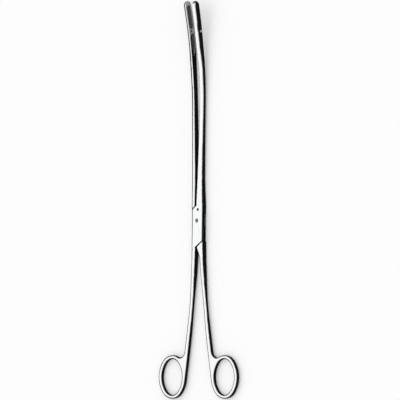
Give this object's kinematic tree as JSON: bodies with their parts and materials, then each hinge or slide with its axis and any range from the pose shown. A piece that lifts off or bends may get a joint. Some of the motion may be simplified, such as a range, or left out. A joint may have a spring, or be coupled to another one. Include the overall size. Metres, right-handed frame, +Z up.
{
  "type": "placenta forceps",
  "caption": "Long ring-handled surgical forceps with a box lock, slim arms that curve to one side, and round-nosed gripping jaws with recessed faces.",
  "frame": {"origin": "on the pivot axis, at the flat back face of the box lock, which the forceps rests on", "axes": "+Y along the forceps from the finger rings to the jaw tips, +X to the right seen from the front, +Z up out of the front face along the pivot, the way the jaws curve"},
  "size_m": [0.0812, 0.317, 0.016],
  "materials": {
    "polished_steel": "polished stainless steel",
    "pin_steel": "ground stainless steel"
  },
  "bodies": {
    "box_side": {"box_half": "polished_steel", "pivot_pin": "pin_steel"},
    "tongue_side": {"tongue_half": "polished_steel"}
  },
  "joints": [
    {"name": "pivot", "type": "hinge", "parent": "box_side", "child": "tongue_side", "pos_m": [0, 0, 0.0032], "axis": [0, 0, 1], "range_deg": [-2.1, 32]}
  ]
}
